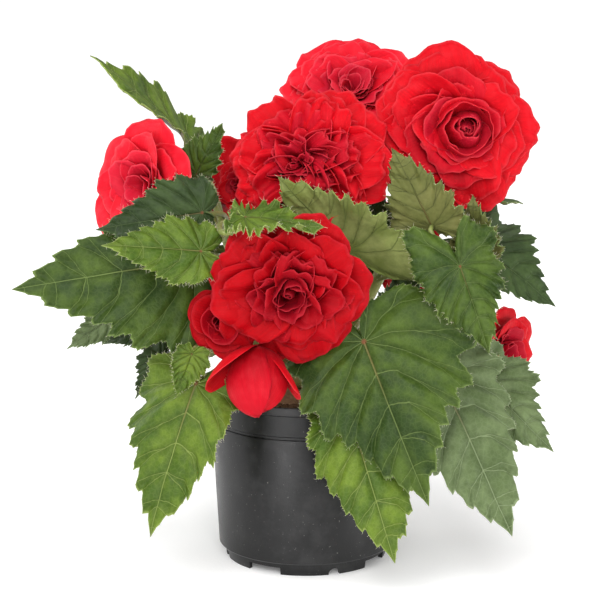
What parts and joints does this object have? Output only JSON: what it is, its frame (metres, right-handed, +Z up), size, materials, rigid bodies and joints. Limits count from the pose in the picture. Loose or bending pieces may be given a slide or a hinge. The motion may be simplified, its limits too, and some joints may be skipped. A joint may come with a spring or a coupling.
{
  "type": "potted begonia",
  "caption": "Double-flowered tuberous begonia with toothed leaves and fleshy stems, growing from a tuber in a round nursery pot that stands on its foot.",
  "frame": {"origin": "centre of the pot's foot, on the surface that it stands on", "axes": "+Z up along the pot's axis; -Y towards the side that the plant shows; +X to its right"},
  "size_m": [0.3193, 0.2515, 0.31],
  "materials": {
    "pot_plastic": "satin, moulded, slightly dusty",
    "potting_mix": "loose, matte, coarse",
    "tuber": "rough, corky",
    "stems": "juicy, slightly glossy, finely haired",
    "leaf_left_large": "satin, quilted between the veins, fringed with short hairs",
    "leaf_left_bright": "satin, quilted between the veins, fringed with short hairs",
    "leaf_left_dark": "satin, quilted between the veins, fringed with short hairs",
    "leaf_left_folded": "satin, quilted between the veins, fringed with short hairs",
    "leaf_left_olive": "satin, quilted between the veins, fringed with short hairs",
    "leaf_middle_upturned": "satin, quilted between the veins, fringed with short hairs",
    "leaf_middle_young": "satin, quilted between the veins, fringed with short hairs",
    "leaf_right_upright": "satin, quilted between the veins, fringed with short hairs",
    "leaf_right_young": "satin, quilted between the veins, fringed with short hairs",
    "leaf_right_curled": "satin, quilted between the veins, fringed with short hairs",
    "leaf_right_dark": "satin, quilted between the veins, fringed with short hairs",
    "leaf_front_large": "satin, quilted between the veins, fringed with short hairs",
    "leaf_front_low": "satin, quilted between the veins, fringed with short hairs",
    "leaf_right_low": "satin, quilted between the veins, fringed with short hairs",
    "leaf_right_low_outer": "satin, quilted between the veins, fringed with short hairs",
    "leaf_right_inner": "satin, quilted between the veins, fringed with short hairs",
    "leaf_right_shaded": "satin, quilted between the veins, fringed with short hairs",
    "leaf_middle_shaded": "satin, quilted between the veins, fringed with short hairs",
    "leaf_left_low": "satin, quilted between the veins, fringed with short hairs",
    "leaf_left_rounded": "satin, quilted between the veins, fringed with short hairs",
    "leaf_left_twisted": "satin, quilted between the veins, fringed with short hairs",
    "leaf_left_veined": "satin, quilted between the veins, fringed with short hairs",
    "leaf_left_shaded": "satin, quilted between the veins, fringed with short hairs",
    "leaf_back_left_low": "satin, quilted between the veins, fringed with short hairs",
    "leaf_back_low": "satin, quilted between the veins, fringed with short hairs",
    "leaf_back_right_low": "satin, quilted between the veins, fringed with short hairs",
    "leaf_back_left": "satin, quilted between the veins, fringed with short hairs",
    "leaf_back_right": "satin, quilted between the veins, fringed with short hairs",
    "leaf_back_high": "satin, quilted between the veins, fringed with short hairs",
    "bloom_front": "satin, velvety",
    "bloom_upper_right": "satin, velvety",
    "bloom_upper_middle": "satin, velvety",
    "bloom_left_centre": "satin, velvety",
    "bloom_left": "satin, velvety",
    "bloom_left_small": "satin, velvety",
    "bloom_right_small": "satin, velvety",
    "bloom_front_side": "satin, velvety",
    "bloom_hanging": "satin, velvety",
    "bloom_back_left": "satin, velvety",
    "bloom_back_right": "satin, velvety",
    "bud_left": "satin, velvety"
  },
  "bodies": {
    "root": {"pot": "pot_plastic", "potting_mix": "potting_mix", "tuber": "tuber", "stems": "stems", "leaf_left_large": "leaf_left_large", "leaf_left_bright": "leaf_left_bright", "leaf_left_dark": "leaf_left_dark", "leaf_left_folded": "leaf_left_folded", "leaf_left_olive": "leaf_left_olive", "leaf_middle_upturned": "leaf_middle_upturned", "leaf_middle_young": "leaf_middle_young", "leaf_right_upright": "leaf_right_upright", "leaf_right_young": "leaf_right_young", "leaf_right_curled": "leaf_right_curled", "leaf_right_dark": "leaf_right_dark", "leaf_front_large": "leaf_front_large", "leaf_front_low": "leaf_front_low", "leaf_right_low": "leaf_right_low", "leaf_right_low_outer": "leaf_right_low_outer", "leaf_right_inner": "leaf_right_inner", "leaf_right_shaded": "leaf_right_shaded", "leaf_middle_shaded": "leaf_middle_shaded", "leaf_left_low": "leaf_left_low", "leaf_left_rounded": "leaf_left_rounded", "leaf_left_twisted": "leaf_left_twisted", "leaf_left_veined": "leaf_left_veined", "leaf_left_shaded": "leaf_left_shaded", "leaf_back_left_low": "leaf_back_left_low", "leaf_back_low": "leaf_back_low", "leaf_back_right_low": "leaf_back_right_low", "leaf_back_left": "leaf_back_left", "leaf_back_right": "leaf_back_right", "leaf_back_high": "leaf_back_high", "bloom_front": "bloom_front", "bloom_upper_right": "bloom_upper_right", "bloom_upper_middle": "bloom_upper_middle", "bloom_left_centre": "bloom_left_centre", "bloom_left": "bloom_left", "bloom_left_small": "bloom_left_small", "bloom_right_small": "bloom_right_small", "bloom_front_side": "bloom_front_side", "bloom_hanging": "bloom_hanging", "bloom_back_left": "bloom_back_left", "bloom_back_right": "bloom_back_right", "bud_left": "bud_left"}
  },
  "joints": []
}
